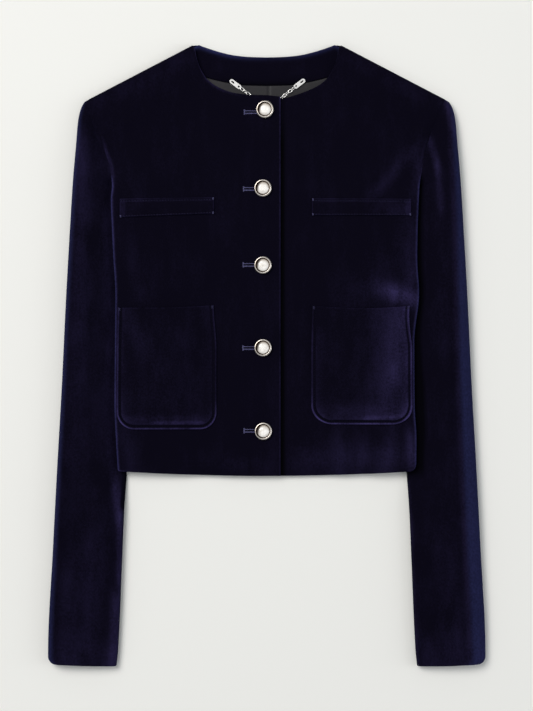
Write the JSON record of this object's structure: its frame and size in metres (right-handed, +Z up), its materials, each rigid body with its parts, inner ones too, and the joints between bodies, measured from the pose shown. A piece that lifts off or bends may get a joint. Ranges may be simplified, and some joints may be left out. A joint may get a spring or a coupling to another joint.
{
  "type": "velvet jacket",
  "caption": "Collarless cropped velvet jacket laid flat and buttoned, with straight sleeves, patch pockets, chest welts and domed pearl buttons.",
  "frame": {"origin": "middle of the jacket's outline, on the surface that it lies on", "axes": "+Y from hem to shoulders, +Z up out of the front, +X towards the wearer's left sleeve"},
  "size_m": [0.4814, 0.6848, 0.0183],
  "materials": {
    "velvet": "midnight blue velvet with a short nap and a blue-violet sheen on its folds",
    "lining": "smooth charcoal grey lining cloth",
    "silver": "polished silver-coloured metal",
    "pearl": "imitation pearl with a soft lustre",
    "thread": "dark blue sewing thread"
  },
  "bodies": {
    "root": {"front_right": "velvet", "front_left": "velvet", "back": "velvet", "sleeve_right_top": "velvet", "sleeve_right_under": "velvet", "sleeve_left_top": "velvet", "sleeve_left_under": "velvet", "back_neck_facing": "velvet", "chest_welt_right": "velvet", "chest_welt_left": "velvet", "chest_jet_right": "velvet", "chest_jet_left": "velvet", "patch_pocket_right": "velvet", "patch_pocket_left": "velvet", "back_lining": "lining", "button_rim_1": "silver", "button_rim_2": "silver", "button_rim_3": "silver", "button_rim_4": "silver", "button_rim_5": "silver", "hanger_plate_right": "silver", "hanger_plate_left": "silver", "hanger_chain": "silver", "button_pearl_1": "pearl", "button_pearl_2": "pearl", "button_pearl_3": "pearl", "button_pearl_4": "pearl", "button_pearl_5": "pearl"}
  },
  "joints": []
}
